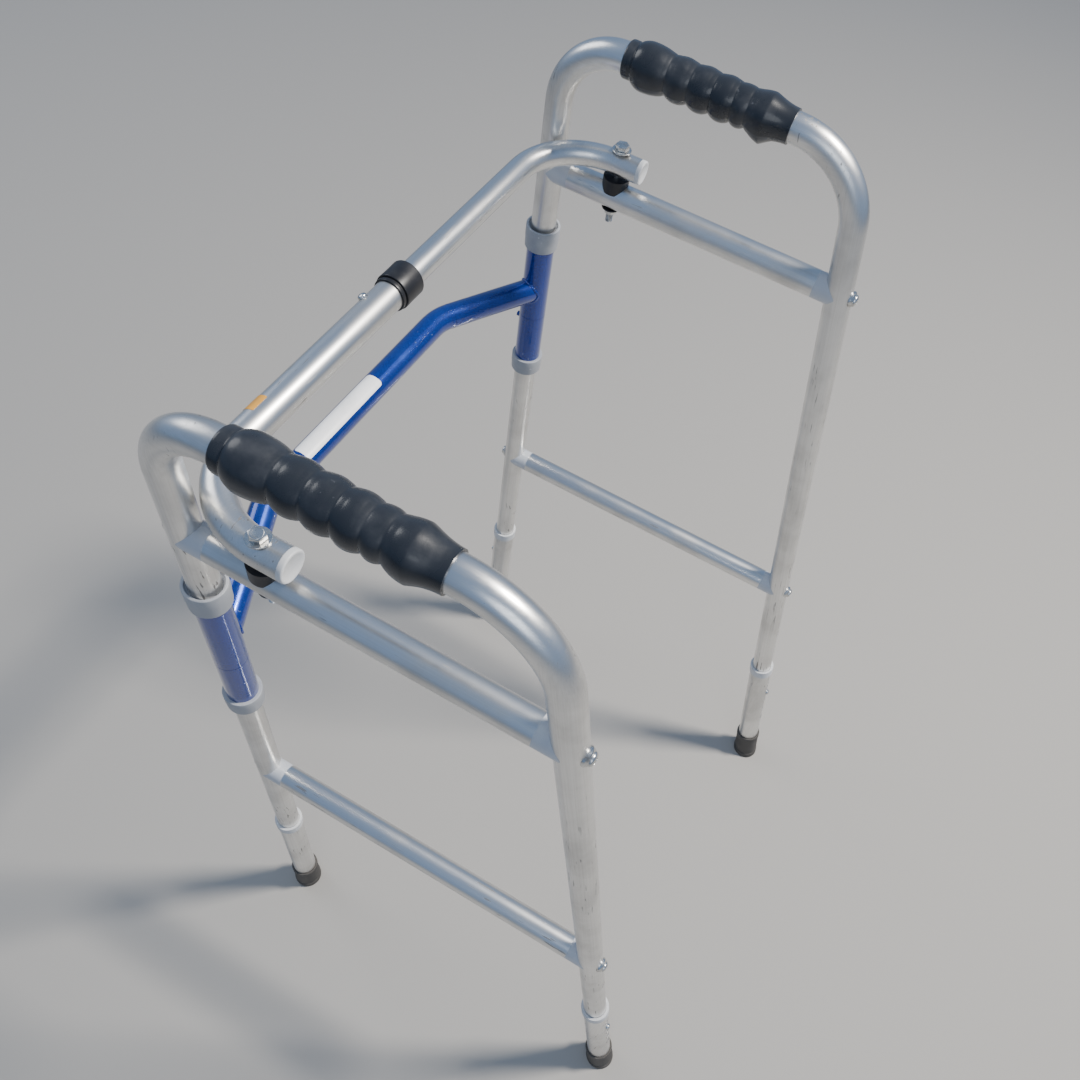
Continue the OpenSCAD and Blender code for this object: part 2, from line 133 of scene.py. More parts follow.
def scuffGroup():  # sparse scratches, cut out of a stretched noise and broken up by a slower one
    group, entry, leave = newGroup(
        "scuffs",
        [("Coords", "NodeSocketVector", None), ("Stretch", "NodeSocketVector", (420, 420, 38)),
         ("Cover", "NodeSocketFloat", 0.64)],
        [("Mask", "NodeSocketFloat")])
    link = group.links.new
    scaled = addNode(group, "ShaderNodeVectorMath", operation="MULTIPLY")
    marks = addNode(group, "ShaderNodeTexNoise", in_Scale=1.0, in_Detail=2.0)
    patches = addNode(group, "ShaderNodeTexNoise", in_Scale=14.0, in_Detail=3.0)
    sharp = addNode(group, "ShaderNodeMapRange", interpolation_type="SMOOTHSTEP")
    soft = addNode(group, "ShaderNodeMapRange", interpolation_type="SMOOTHSTEP")
    soft.inputs["From Min"].default_value = 0.48
    soft.inputs["From Max"].default_value = 0.62
    wider = addNode(group, "ShaderNodeMath", operation="ADD")
    wider.inputs[1].default_value = 0.06
    both = addNode(group, "ShaderNodeMath", operation="MULTIPLY")
    link(entry.outputs["Coords"], scaled.inputs[0])
    link(entry.outputs["Stretch"], scaled.inputs[1])
    link(scaled.outputs["Vector"], marks.inputs["Vector"])
    link(entry.outputs["Coords"], patches.inputs["Vector"])
    link(entry.outputs["Cover"], sharp.inputs["From Min"])
    link(entry.outputs["Cover"], wider.inputs[0])
    link(wider.outputs[0], sharp.inputs["From Max"])
    link(marks.outputs["Fac"], sharp.inputs["Value"])
    link(patches.outputs["Fac"], soft.inputs["Value"])
    link(sharp.outputs["Result"], both.inputs[0])
    link(soft.outputs["Result"], both.inputs[1])
    link(both.outputs[0], leave.inputs["Mask"])
    return group


def mottleGroup():  # slow patches of dust, haze and handling, spread between 0 and 1
    group, entry, leave = newGroup(
        "mottle",
        [("Coords", "NodeSocketVector", None), ("Scale", "NodeSocketFloat", 25.0),
         ("Low", "NodeSocketFloat", 0.35), ("High", "NodeSocketFloat", 0.65)],
        [("Patches", "NodeSocketFloat")])
    link = group.links.new
    noise = addNode(group, "ShaderNodeTexNoise", in_Detail=6.0, in_Roughness=0.6)
    spread = addNode(group, "ShaderNodeMapRange", interpolation_type="SMOOTHSTEP")
    link(entry.outputs["Coords"], noise.inputs["Vector"])
    link(entry.outputs["Scale"], noise.inputs["Scale"])
    link(noise.outputs["Fac"], spread.inputs["Value"])
    link(entry.outputs["Low"], spread.inputs["From Min"])
    link(entry.outputs["High"], spread.inputs["From Max"])
    link(spread.outputs["Result"], leave.inputs["Patches"])
    return group


groups = {"streaks": streakGroup(), "scuffs": scuffGroup(), "mottle": mottleGroup()}


def placeGroup(tree, name, coords, **values):
    node = tree.nodes.new("ShaderNodeGroup")
    node.node_tree = groups[name]
    tree.links.new(coords, node.inputs["Coords"])
    for key, value in values.items():
        node.inputs[key].default_value = value
    return node.outputs[0]


def startMaterial(name, **principled):
    material = bpy.data.materials.new(name)
    material.use_nodes = True
    tree = material.node_tree
    shader = tree.nodes["Principled BSDF"]
    for key, value in principled.items():
        shader.inputs[key.replace("_", " ")].default_value = value
    coords = tree.nodes.new("ShaderNodeTexCoord").outputs["Object"]
    return material, tree, shader, coords


def mixValue(tree, factor, low, high):  # low and high are numbers or sockets
    node = addNode(tree, "ShaderNodeMix", data_type="FLOAT")
    tree.links.new(factor, node.inputs[0])
    for slot, value in ((2, low), (3, high)):
        if isinstance(value, (int, float)):
            node.inputs[slot].default_value = value
        else:
            tree.links.new(value, node.inputs[slot])
    return node.outputs[0]


def mixColour(tree, factor, low, high, blend="MIX"):
    node = addNode(tree, "ShaderNodeMix", data_type="RGBA", blend_type=blend)
    tree.links.new(factor, node.inputs[0])
    for slot, value in ((6, low), (7, high)):
        if isinstance(value, tuple):
            node.inputs[slot].default_value = (*value, 1)
        else:
            tree.links.new(value, node.inputs[slot])
    return node.outputs[2]


def addBump(tree, shader, height, strength, distance):
    bump = addNode(tree, "ShaderNodeBump", in_Strength=strength, in_Distance=distance)
    tree.links.new(height, bump.inputs["Height"])
    tree.links.new(bump.outputs["Normal"], shader.inputs["Normal"])


def rampOf(tree, value, low, high):
    node = addNode(tree, "ShaderNodeMapRange", interpolation_type="SMOOTHSTEP")
    node.inputs["From Min"].default_value = low
    node.inputs["From Max"].default_value = high
    tree.links.new(value, node.inputs["Value"])
    return node.outputs["Result"]


# ---------- finishes ----------

aluminium = {
    "clean": (0.83, 0.825, 0.81),
    "hazed": (0.66, 0.65, 0.63),
    "mark": (0.30, 0.29, 0.28),
    "roughLow": 0.22,
    "roughHigh": 0.40,
    "streak": 900,
    "run": 9,
}


def tubeMaterial(name, run):  # run is "X", "Y", "Z", or "frame" for the bent side frames
    material, tree, shader, coords = startMaterial(name, Metallic=1.0, Roughness=0.3)
    fine, slow = aluminium["streak"], aluminium["run"]
    stretches = {"X": (slow, fine, fine), "Y": (fine, slow, fine), "Z": (fine, fine, slow)}
    scratch = {"X": (38, 420, 420), "Y": (420, 38, 420), "Z": (420, 420, 38)}
    if run == "frame":
        parts = addNode(tree, "ShaderNodeSeparateXYZ")
        tree.links.new(coords, parts.inputs[0])
        turned = addNode(tree, "ShaderNodeMapping", vector_type="POINT", in_Rotation=(-rearLean, 0, 0))
        tree.links.new(coords, turned.inputs["Vector"])
        handleZ = middle("left_grip").z
        atHandle = rampOf(tree, parts.outputs["Z"], handleZ - 0.03, handleZ - 0.005)
        atRear = rampOf(tree, parts.outputs["Y"], -0.02, 0.02)
        legLines = mixValue(
            tree, atRear,
            placeGroup(tree, "streaks", coords, Stretch=stretches["Z"]),
            placeGroup(tree, "streaks", turned.outputs[0], Stretch=stretches["Z"]))
        handleLines = placeGroup(tree, "streaks", coords, Stretch=stretches["Y"])
        lines = mixValue(tree, atHandle, legLines, handleLines)
        scuffs = placeGroup(tree, "scuffs", turned.outputs[0], Stretch=scratch["Z"], Cover=0.63)
    else:
        lines = placeGroup(tree, "streaks", coords, Stretch=stretches[run])
        scuffs = placeGroup(tree, "scuffs", coords, Stretch=scratch[run], Cover=0.65)
    haze = placeGroup(tree, "mottle", coords, Scale=18.0, Low=0.38, High=0.72)
    tone = mixColour(tree, haze, aluminium["clean"], aluminium["hazed"])
    tone = mixColour(tree, rampOf(tree, lines, 0.30, 0.72), tone, (0.90, 0.90, 0.89), "MULTIPLY")
    tree.links.new(mixColour(tree, scuffs, tone, aluminium["mark"]), shader.inputs["Base Color"])
    rough = mixValue(tree, lines, aluminium["roughLow"], aluminium["roughHigh"])
    rough = mixValue(tree, haze, rough, 0.42)
    tree.links.new(mixValue(tree, scuffs, rough, 0.6), shader.inputs["Roughness"])
    addBump(tree, shader, lines, 0.10, 0.00008)
    return material


def bluePaint():  # candy-coloured enamel over a metallic base
    material, tree, shader, coords = startMaterial(
        "bluePaint", Metallic=0.5, Roughness=0.3, Coat_Weight=1.0, Coat_Roughness=0.04)
    flake = addNode(tree, "ShaderNodeTexVoronoi", in_Scale=2600.0)
    tree.links.new(coords, flake.inputs["Vector"])
    sparkle = addNode(tree, "ShaderNodeSeparateColor")
    tree.links.new(flake.outputs["Color"], sparkle.inputs[0])
    base = mixColour(tree, sparkle.outputs[0], (0.0, 0.012, 0.13), (0.0, 0.045, 0.36))
    chips = placeGroup(tree, "scuffs", coords, Stretch=(260, 260, 90), Cover=0.70)
    haze = placeGroup(tree, "mottle", coords, Scale=30.0, Low=0.45, High=0.8)
    base = mixColour(tree, haze, base, (0.002, 0.035, 0.24))
    tree.links.new(mixColour(tree, chips, base, (0.35, 0.42, 0.55)), shader.inputs["Base Color"])
    tree.links.new(mixValue(tree, haze, 0.24, 0.36), shader.inputs["Roughness"])
    addBump(tree, shader, flake.outputs["Distance"], 0.03, 0.0001)
    return material


def mouldedMaterial(name, colour, dusty, roughness, grain, depth, **principled):
    material, tree, shader, coords = startMaterial(name, Roughness=roughness, **principled)
    texture = addNode(tree, "ShaderNodeTexNoise", in_Scale=grain, in_Detail=5.0, in_Roughness=0.6)
    tree.links.new(coords, texture.inputs["Vector"])
    dust = placeGroup(tree, "mottle", coords, Scale=42.0, Low=0.42, High=0.78)
    marks = placeGroup(tree, "scuffs", coords, Stretch=(300, 300, 300), Cover=0.70)
    tone = mixColour(tree, dust, colour, dusty)
    tone = mixColour(tree, marks, tone, tuple(min(1.0, c * 1.8 + 0.02) for c in dusty))
    tree.links.new(tone, shader.inputs["Base Color"])
    rough = mixValue(tree, dust, roughness, min(1.0, roughness + 0.18))
    tree.links.new(rough, shader.inputs["Roughness"])
    addBump(tree, shader, texture.outputs["Fac"], depth, 0.0003)
    return material


def steelMaterial(name, colour, roughness):
    material, tree, shader, coords = startMaterial(name, Metallic=1.0, Roughness=roughness)
    spangle = placeGroup(tree, "mottle", coords, Scale=260.0, Low=0.3, High=0.7)
    grime = placeGroup(tree, "mottle", coords, Scale=90.0, Low=0.52, High=0.75)
    tone = mixColour(tree, spangle, colour, tuple(c * 0.82 for c in colour))
    tree.links.new(mixColour(tree, grime, tone, (0.20, 0.18, 0.16)), shader.inputs["Base Color"])
    tree.links.new(mixValue(tree, grime, roughness, roughness + 0.25), shader.inputs["Roughness"])
    addBump(tree, shader, spangle, 0.05, 0.0002)
    return material


def labelMaterial(name, colour, faded):
    material, tree, shader, coords = startMaterial(name, Roughness=0.42, Coat_Weight=0.3, Coat_Roughness=0.25)
    fibre = addNode(tree, "ShaderNodeTexNoise", in_Scale=900.0, in_Detail=4.0)
    tree.links.new(coords, fibre.inputs["Vector"])
    stain = placeGroup(tree, "mottle", coords, Scale=60.0, Low=0.45, High=0.75)
    tree.links.new(mixColour(tree, stain, colour, faded), shader.inputs["Base Color"])
    tree.links.new(mixValue(tree, stain, 0.38, 0.55), shader.inputs["Roughness"])
    addBump(tree, shader, fibre.outputs["Fac"], 0.04, 0.0002)
    return material


finishes = {
    "frameTube": tubeMaterial("frameTube", "frame"),
    "railTube": tubeMaterial("railTube", "Y"),
    "crossTube": tubeMaterial("crossTube", "X"),
    "legTube": tubeMaterial("legTube", "Z"),
    "bluePaint": bluePaint(),
    "gripRubber": mouldedMaterial(
        "gripRubber", (0.016, 0.018, 0.022), (0.034, 0.036, 0.041), 0.27, 1500.0, 0.12, Coat_Weight=0.2),
    "tipRubber": mouldedMaterial(
        "tipRubber", (0.055, 0.051, 0.046), (0.12, 0.11, 0.10), 0.72, 700.0, 0.25),
    "greyPlastic": mouldedMaterial(
        "greyPlastic", (0.30, 0.315, 0.34), (0.40, 0.41, 0.42), 0.42, 900.0, 0.08),
    "capPlastic": mouldedMaterial("capPlastic", (0.56, 0.57, 0.58), (0.66, 0.66, 0.65), 0.40, 900.0, 0.08),
    "saddlePlastic": mouldedMaterial(
        "saddlePlastic", (0.50, 0.52, 0.55), (0.60, 0.61, 0.62), 0.34, 900.0, 0.06, Coat_Weight=0.3),
    "blackPlastic": mouldedMaterial(
        "blackPlastic", (0.010, 0.010, 0.012), (0.022, 0.022, 0.025), 0.36, 900.0, 0.10),
    "nylon": mouldedMaterial("nylon", (0.70, 0.70, 0.66), (0.60, 0.59, 0.55), 0.45, 600.0, 0.05),
    "zincSteel": steelMaterial("zincSteel", (0.72, 0.72, 0.70), 0.26),
    "springSteel": steelMaterial("springSteel", (0.48, 0.48, 0.50), 0.34),
    "whiteLabel": labelMaterial("whiteLabel", (0.93, 0.93, 0.93), (0.80, 0.81, 0.81)),
    "goldLabel": labelMaterial("goldLabel", (0.72, 0.34, 0.03), (0.48, 0.25, 0.05)),
}

nodeFinish = {
    "side_tube": "frameTube", "rail": "railTube", "rail_saddles": "saddlePlastic", "cross_tube": "crossTube",
    "extension": "legTube", "ferrule": "capPlastic", "sleeve": "bluePaint", "sleeve_ring": "bluePaint",
    "brace_tube": "bluePaint", "sleeve_bush": "nylon", "collar": "greyPlastic",
    "pivot_saddle": "blackPlastic", "clip": "springSteel", "button": "zincSteel",
    "end_cap": "capPlastic", "telescope_collar": "blackPlastic", "grip": "gripRubber", "tip": "tipRubber",
    "pivot_bolt": "zincSteel", "pivot_nut": "zincSteel", "pivot_washers": "zincSteel",
    "rail_screws": "zincSteel",
}
for nodeName, node in nodes.items():
    fitting = [key for key in nodeFinish if key in nodeName]
    chosen = finishes[nodeFinish[max(fitting, key=len)]]
    node.data.materials.clear()
    node.data.materials.append(chosen)
print("finishes assigned")


# ---------- mesh helpers ----------

def spun(profile, steps=64, closed=True):  # profile is (radius, height) pairs, turned about Z
    mesh = bmesh.new()
    verts = [mesh.verts.new((radius, 0, height)) for radius, height in profile]
    edges = [mesh.edges.new(pair) for pair in zip(verts, verts[1:])]
    if closed:
        edges.append(mesh.edges.new((verts[-1], verts[0])))
    bmesh.ops.spin(
        mesh, geom=verts + edges, cent=(0, 0, 0), axis=(0, 0, 1), angle=math.tau, steps=steps, use_merge=True)
    bmesh.ops.remove_doubles(mesh, verts=mesh.verts, dist=1e-6)
    bmesh.ops.recalc_face_normals(mesh, faces=mesh.faces)
    return mesh


def joinInto(target, source, matrix):
    bmesh.ops.transform(source, matrix=matrix, verts=source.verts)
    holder = bpy.data.meshes.new("joining")
    source.to_mesh(holder)
    source.free()
    target.from_mesh(holder)
    bpy.data.meshes.remove(holder)


def finishPiece(name, mesh, finish, body, replaced=(), sharp=38):
    for face in mesh.faces:
        face.smooth = True
    for edge in mesh.edges:
        if len(edge.link_faces) == 2:
            edge.smooth = edge.calc_face_angle(0) < math.radians(sharp)
    data = bpy.data.meshes.new(name)
    mesh.to_mesh(data)
    mesh.free()
    piece = bpy.data.objects.new(name, data)
    bpy.context.scene.collection.objects.link(piece)
    data.materials.append(finishes[finish])
    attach(piece, body)
    if replaced:
        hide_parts(*replaced)
    return piece


def arcPoints(centre, radius, first, last, count):  # an arc for a profile, angles in degrees
    points = []
    for i in range(count + 1):
        angle = math.radians(first + (last - first) * i / count)
        points.append((centre[0] + radius * math.cos(angle), centre[1] + radius * math.sin(angle)))
    return points


# ---------- bent side tubes ----------

sideTube = {"frontBend": 50, "rearBend": 68, "depth": 242, "wall": 1.2, "around": 72, "perDegree": 0.5}


def ringOf(geometry):
    verts = [g for g in geometry if isinstance(g, bmesh.types.BMVert)]
    allEdges = [g for g in geometry if isinstance(g, bmesh.types.BMEdge)]
    edges = [e for e in allEdges if e.verts[0] in verts and e.verts[1] in verts]
    return verts, edges


# Lies in a plane across X and sets off upwards; each step of the route is (length, bend, turn)
def bentTube(start, route, radius, wall):
    mesh = bmesh.new()
    circle = bmesh.ops.create_circle(
        mesh, cap_ends=False, segments=sideTube["around"], radius=radius, matrix=Matrix.Translation(start))
    verts, edges = circle["verts"], mesh.edges[:]
    place, heading = Vector(start), Vector((0, 0, 1))
    for length, bend, turn in route:
        grown = bmesh.ops.extrude_edge_only(mesh, edges=edges)
        verts, edges = ringOf(grown["geom"])
        bmesh.ops.translate(mesh, vec=heading * length, verts=verts)
        place = place + heading * length
        if turn:
            inward = Vector((0, heading.z, -heading.y))
            centre = place + inward * bend
            grown = bmesh.ops.spin(
                mesh, geom=verts + edges, cent=centre, axis=(-1, 0, 0), angle=turn,
                steps=round(math.degrees(turn) * sideTube["perDegree"]), use_merge=False)
            verts, edges = ringOf(grown["geom_last"])
            rotation = Matrix.Rotation(-turn, 3, "X")
            place, heading = centre + rotation @ (place - centre), rotation @ heading
    bmesh.ops.recalc_face_normals(mesh, faces=mesh.faces)
    bmesh.ops.solidify(mesh, geom=mesh.faces[:], thickness=wall)
    return mesh


for side in sides:
    low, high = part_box(f"{side}_side_tube")
    axisX, axisY, handleZ = middle(f"{side}_side_tube").x, low.y + tubeRadius, high.z - tubeRadius
    frontBend, rearBend, depth = (sideTube[k] * mm for k in ("frontBend", "rearBend", "depth"))
    rearTurn = math.pi / 2 - rearLean
    rearSetback = rearBend * math.tan(rearTurn / 2)
    legStart = low.z
    rearLength = (handleZ - legStart) / math.cos(rearLean) - rearSetback
    route = [
        (handleZ - frontBend - legStart, frontBend, math.pi / 2),
        (depth - frontBend - rearSetback, rearBend, rearTurn),
        (rearLength, 0, 0),
    ]
    tube = bentTube((axisX, axisY, legStart), route, tubeRadius, sideTube["wall"] * mm)
    finishPiece(f"{side}_bent_tube", tube, "frameTube", f"{side}_frame", [f"{side}_side_tube"])
print("side tubes bent")


# ---------- grips ----------

grip = {
    "cuffEnd": 0.058,     # shares of the grip's length, front to rear
    "bulbEnd": 0.265,
    "lobeEnds": (0.402, 0.535, 0.662, 0.748),
    "rearPeak": 0.85,
    "endRadius": 12.5,
    "grooveRadius": 12.9,
    "cuffRadius": 13.4,
    "bulbRadius": 16.7,
    "lobeRadius": 15.6,
    "rearRadius": 16.4,
    "topFill": 0.62,      # how far the grooves fill up on the palm's side
    "stopDrop": 3.4,      # how far the finger stop hangs under the rear bulge
    "seam": 0.25,
    "seamAngle": -28,
    "steps": 108,
    "rings": 220,
}


def swell(t, peak, power):  # 0 to 1 to 0, with its top at peak
    side = t / peak if t < peak else (1 - t) / (1 - peak)
    return math.sin(math.pi / 2 * max(0.0, min(1.0, side))) ** power


def gripRadius(share):
    groove = grip["grooveRadius"]
    if share < grip["cuffEnd"]:
        edge = share / grip["cuffEnd"]
        return grip["cuffRadius"] - 0.8 * (1 - min(1, edge * 5)) ** 2 - 0.5 * max(0, edge - 0.7) / 0.3
    if share < grip["bulbEnd"]:
        t = (share - grip["cuffEnd"]) / (grip["bulbEnd"] - grip["cuffEnd"])
        return groove + (grip["bulbRadius"] - groove) * swell(t, 0.36, 0.5)
    start = grip["bulbEnd"]
    for i, end in enumerate(grip["lobeEnds"]):
        if share < end:
            rise = (grip["lobeRadius"] - groove) * (0.72 if i == 3 else 1)
            return groove + rise * swell((share - start) / (end - start), 0.5, 0.62)
        start = end
    peak = grip["rearPeak"]
    if share < peak:
        return groove + (grip["rearRadius"] - groove) * swell((share - start) / (peak - start), 0.999, 0.7)
    fall = (share - peak) / (1 - peak)
    ease = 1 - (1 - (1 - fall) ** 2) ** 1.25  # falls away from the top, then runs out along the tube
    return grip["endRadius"] + (grip["rearRadius"] - grip["endRadius"]) * ease


def lobeWeight(share):  # 1 along the lobes, easing to 0 at the cuff and in the rear bulge
    return max(0, min(1, (share - grip["cuffEnd"]) * 25, (grip["rearPeak"] - share) * 12))


def makeGrip(side):
    low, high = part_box(f"{side}_grip")
    length = (high.y - low.y) / mm
    bore = tubeRadius / mm + 0.05
    outside = [(gripRadius(i / grip["rings"]), length * i / grip["rings"]) for i in range(grip["rings"] + 1)]
    mesh = spun([(r * mm, h * mm) for r, h in [(bore, 0), *outside, (bore, length)]], grip["steps"])
    for vert in mesh.verts:
        radius = math.hypot(vert.co.x, vert.co.y) / mm
        if radius < bore + 0.4:
            continue
        share = vert.co.z / mm / length
        angle = math.degrees(math.atan2(-vert.co.y, vert.co.x))  # 90 is the top once it lies along Y
        up = math.sin(math.radians(angle))
        weight = lobeWeight(share)  # the palm's side is smoother, the fingers' side deeper
        radius += weight * grip["topFill"] * max(0, up) * max(0, grip["lobeRadius"] - 0.6 - radius)
        radius += weight * 0.35 * max(0, -up) * (radius - 14.2)
        radius += grip["stopDrop"] * max(0, -up) ** 3 * max(0, 1 - abs(share - grip["rearPeak"]) / 0.07)
        for seamAngle in (grip["seamAngle"], 180 - grip["seamAngle"]):
            off = abs((angle - seamAngle + 180) % 360 - 180)
            radius += grip["seam"] * max(0, 1 - off / 3.5)
        scale = radius * mm / math.hypot(vert.co.x, vert.co.y)
        vert.co.x *= scale
        vert.co.y *= scale
    place = Matrix.Translation((middle(f"{side}_grip").x, low.y, middle(f"{side}_grip").z))
    bmesh.ops.transform(mesh, matrix=place @ Matrix.Rotation(-math.pi / 2, 4, "X"), verts=mesh.verts)
    return finishPiece(f"{side}_moulded_grip", mesh, "gripRubber", f"{side}_frame",
                       [f"{side}_grip"], sharp=60)


for side in sides:
    makeGrip(side)
print("grips moulded")


# ---------- rubber tips ----------

tip = {
    "baseRadius": 15.5,
    "bodyRadius": 14.9,
    "mouthRadius": 14.2,
    "height": 48,
    "socket": 12.78,
    "floor": 12,
    "foot": 9,            # height of the flared foot
    "treads": 3,
    "treadDepth": 1.2,
}


def tipProfile():
    points = [(0, 0)]
    for i in range(tip["treads"]):
        inner = 3.2 + i * 3.6
        points += [(inner, 0), (inner + 0.4, tip["treadDepth"])]
        points += [(inner + 1.6, tip["treadDepth"]), (inner + 2.0, 0)]
    base, body, mouth = tip["baseRadius"], tip["bodyRadius"], tip["mouthRadius"]
    points += arcPoints((base - 1.6, 1.6), 1.6, -90, 0, 5)
    points += arcPoints((base - 1.0, tip["foot"] - 1.0), 1.0, 0, 90, 4)
    points += [(body - 0.35, tip["foot"] + 0.2), (body - 0.3, tip["foot"] + 1.0), (body, tip["foot"] + 1.6)]
    points += [(mouth + 0.2, tip["height"] - 7), (mouth + 0.75, tip["height"] - 6.2)]
    points += [(mouth + 0.75, tip["height"] - 2)]
    points += arcPoints((mouth - 0.1, tip["height"] - 0.85), 0.85, 0, 90, 4)
    points += [(tip["socket"], tip["height"] - 0.2), (tip["socket"], tip["floor"]), (0, tip["floor"])]
    return points


def makeTip(side, end):
    mesh = spun([(r * mm, h * mm) for r, h in tipProfile()], 72, closed=False)
    lean = 0 if end == "front" else rearLean
    reach = 22 * mm
    for vert in mesh.verts:  # the foot is cut level with the floor, however the leg leans
        share = max(0, 1 - max(0, vert.co.z) / reach)
        vert.co.z -= vert.co.y * math.tan(lean) * share
    bmesh.ops.transform(mesh, matrix=legMatrix(side, end), verts=mesh.verts)
    return finishPiece(f"{side}_{end}_rubber_tip", mesh, "tipRubber", f"{side}_{end}_leg",
                       [f"{side}_{end}_tip"])


for side in sides:
    for end in ends:
        makeTip(side, end)
print("tips made")


# ---------- rail screws ----------

railScrew = {
    "headRadius": 4.9,
    "headHeight": 2.7,
    "washerRadius": 6.6,
    "washerEdge": 1.1,
    "crossWidth": 0.75,
    "crossReach": 2.7,
    "crossDepth": 1.5,
    "shank": 2.3,
}


def screwHead():  # local -Z points away from the leg, Z = 0 lies on the leg's face
    radius, rise = railScrew["headRadius"], railScrew["headHeight"]
    shank = railScrew["shank"]
    profile = [(0, 3.0), (shank, 3.0), (shank, -0.2), (radius, -0.2), (radius, -0.6)]
    for i in range(1, 15):
        angle = math.radians(90 * i / 14)
        profile.append((radius * math.cos(angle), -0.6 - rise * math.sin(angle) ** 0.9))
    mesh = spun([(r * mm, h * mm) for r, h in profile], 64, closed=False)
    for vert in mesh.verts:  # the driver's cross is pressed into the dome
        x, y = abs(vert.co.x) / mm, abs(vert.co.y) / mm
        inCross = min(x, y) < railScrew["crossWidth"] and max(x, y) < railScrew["crossReach"]
        if inCross and vert.co.z < -0.6 * mm:
            depth = railScrew["crossDepth"] * (1 - 0.5 * max(x, y) / railScrew["crossReach"])
            vert.co.z += depth * mm
    return mesh


def washerRing(lean):  # its inner face follows the round leg
    radius, edge = railScrew["washerRadius"], railScrew["washerEdge"]
    profile = [(2.4, 0), (radius, 0), (radius + 0.15, -edge / 2), (radius - 0.3, -edge)]
    profile += [(5.2, -edge - 0.5), (2.4, -edge - 0.6)]
    mesh = spun([(r * mm, h * mm) for r, h in profile], 64)
    for vert in mesh.verts:
        drop = tubeRadius - math.sqrt(max(0, tubeRadius ** 2 - vert.co.x ** 2))
        if vert.co.z > -0.01 * mm:
            vert.co.z += drop + abs(vert.co.y) * abs(math.tan(lean))
        elif math.hypot(vert.co.x, vert.co.y) > 5.4 * mm:
            vert.co.z += 0.75 * drop
    return mesh


for side, sign in sides.items():
    screws = bmesh.new()
    for end, out in ends.items():
        lean = 0 if end == "front" else rearLean
        for rail in ("upper", "lower"):
            height = middle(f"{side}_{rail}_rail").z
            place = Vector((middle(f"{side}_{rail}_rail").x, legAxisY(side, end, height), height))
            face = Matrix.Translation(place) @ Matrix.Rotation(out * math.pi / 2, 4, "X")
            face = face @ Matrix.Translation((0, 0, -tubeRadius / math.cos(lean)))
            joinInto(screws, washerRing(lean), face)
            joinInto(screws, screwHead(), face @ Matrix.Translation((0, 0, -1.3 * mm)))
    finishPiece(f"{side}_domed_screws", screws, "zincSteel", f"{side}_frame",
                [f"{side}_rail_screws"])
print("rail screws made")


# ---------- collars on the front legs ----------

legCollar = {"mouth": 2.1, "mouthDepth": 3.2, "lip": 0.7, "round": 1.1, "taper": 0.45}


def makeLegCollar(side, which):
    low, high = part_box(f"{side}_{which}_collar")
    radius, height = (high.x - low.x) / 2 / mm, (high.z - low.z) / mm
    bore = tubeRadius / mm + 0.05
    corner, taper = legCollar["round"], legCollar["taper"]
    profile = [(bore, 0), *arcPoints((radius - taper - corner, corner), corner, -90, 0, 5)]
    profile += [(radius - taper * 0.6, height * 0.42), (radius, height * 0.5)]
    profile += arcPoints((radius - legCollar["lip"], height - legCollar["lip"]), legCollar["lip"], 0, 90, 5)
    mouth = bore + legCollar["mouth"] if which == "upper" else bore + 0.5
    profile += [(mouth + 0.3, height), (mouth, height - 0.3), (mouth, height - legCollar["mouthDepth"])]
    profile += [(bore, height - legCollar["mouthDepth"] - 0.4)]
    mesh = spun([(r * mm, h * mm) for r, h in profile], 72)
    centre = middle(f"{side}_{which}_collar")
    bmesh.ops.translate(mesh, vec=(centre.x, centre.y, low.z), verts=mesh.verts)
    return finishPiece(f"{side}_{which}_moulded_collar", mesh, "greyPlastic", f"{side}_frame",
                       [f"{side}_{which}_collar"])


for side in sides:
    for which in ("upper", "lower"):
        makeLegCollar(side, which)
print("leg collars made")


# ---------- pivot bolts ----------

pivotBolt = {
    "flats": 10.0,
    "head": 4.0,
    "chamfer": 0.45,
    "washerRadius": 7.9,
    "washer": 1.2,
    "shank": 3.0,
    "threadPitch": 1.0,
    "threadDepth": 0.45,
    "threadLength": 12,
    "nut": 5.0,
}


def hexBlock(height):  # chamfered on both faces like a turned hexagon bar
    corner = pivotBolt["flats"] / 2 / math.cos(math.radians(30)) * mm
    mesh = bmesh.new()
    bmesh.ops.create_cone(
        mesh, cap_ends=True, cap_tris=False, segments=6, radius1=corner, radius2=corner, depth=height * mm)
    rims = [e for e in mesh.edges if abs(e.verts[0].co.z - e.verts[1].co.z) < 1e-7]
    bmesh.ops.bevel(
        mesh, geom=rims, offset=pivotBolt["chamfer"] * mm, affect="EDGES",
        segments=3, profile=0.5, material=-1)
    bmesh.ops.translate(mesh, vec=(0, 0, height / 2 * mm), verts=mesh.verts)
    return mesh


def threadProfile(length):  # a rod from z = 0 down, threaded at its lower end
    radius, pitch, depth = pivotBolt["shank"], pivotBolt["threadPitch"], pivotBolt["threadDepth"]
    turns = int(pivotBolt["threadLength"] / pitch)
    points = [(0, 0), (radius, 0), (radius, -(length - turns * pitch))]
    for i in range(turns):
        top = -(length - turns * pitch) - i * pitch
        points += [(radius, top - 0.12 * pitch), (radius - depth, top - 0.5 * pitch)]
        points += [(radius, top - 0.88 * pitch)]
    points += [(radius - 0.6, -length - 0.4), (0, -length - 0.4)]
    return points


def washerDisc(thickness):
    outer, inner, edge = pivotBolt["washerRadius"], pivotBolt["shank"] + 0.1, 0.3
    return spun([(r * mm, h * mm) for r, h in [
        (inner, 0), (outer - edge, 0), (outer, edge), (outer, thickness - edge),
        (outer - edge, thickness), (inner, thickness)]], 64)


